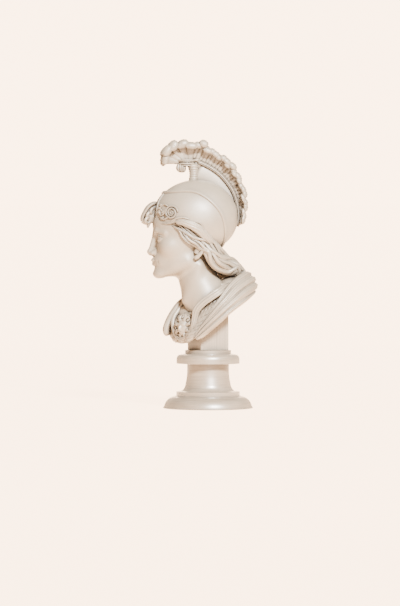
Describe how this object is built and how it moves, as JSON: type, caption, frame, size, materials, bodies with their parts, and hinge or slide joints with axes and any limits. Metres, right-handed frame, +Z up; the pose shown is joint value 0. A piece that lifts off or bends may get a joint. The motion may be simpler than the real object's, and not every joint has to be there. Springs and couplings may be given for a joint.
{
  "type": "portrait bust",
  "caption": "Carved stone bust of a helmeted goddess with a plumed crest, on a square pillar and a round turned socle.",
  "frame": {"origin": "centre of the socle's flat underside", "axes": "+Z up, the chest facing -Y, the figure's left side towards +X; the head is turned 20 degrees to the figure's right"},
  "size_m": [0.2796, 0.3408, 0.8032],
  "materials": {
    "bust": "warm statuary stone with a soft sheen on the high parts, darker in the cuts",
    "pillar": "plain warm grey stone, finely rubbed",
    "socle": "turned and polished warm beige stone with fine darker flecks"
  },
  "bodies": {
    "root": {"bust": "bust", "pillar": "pillar", "socle": "socle"}
  },
  "joints": []
}
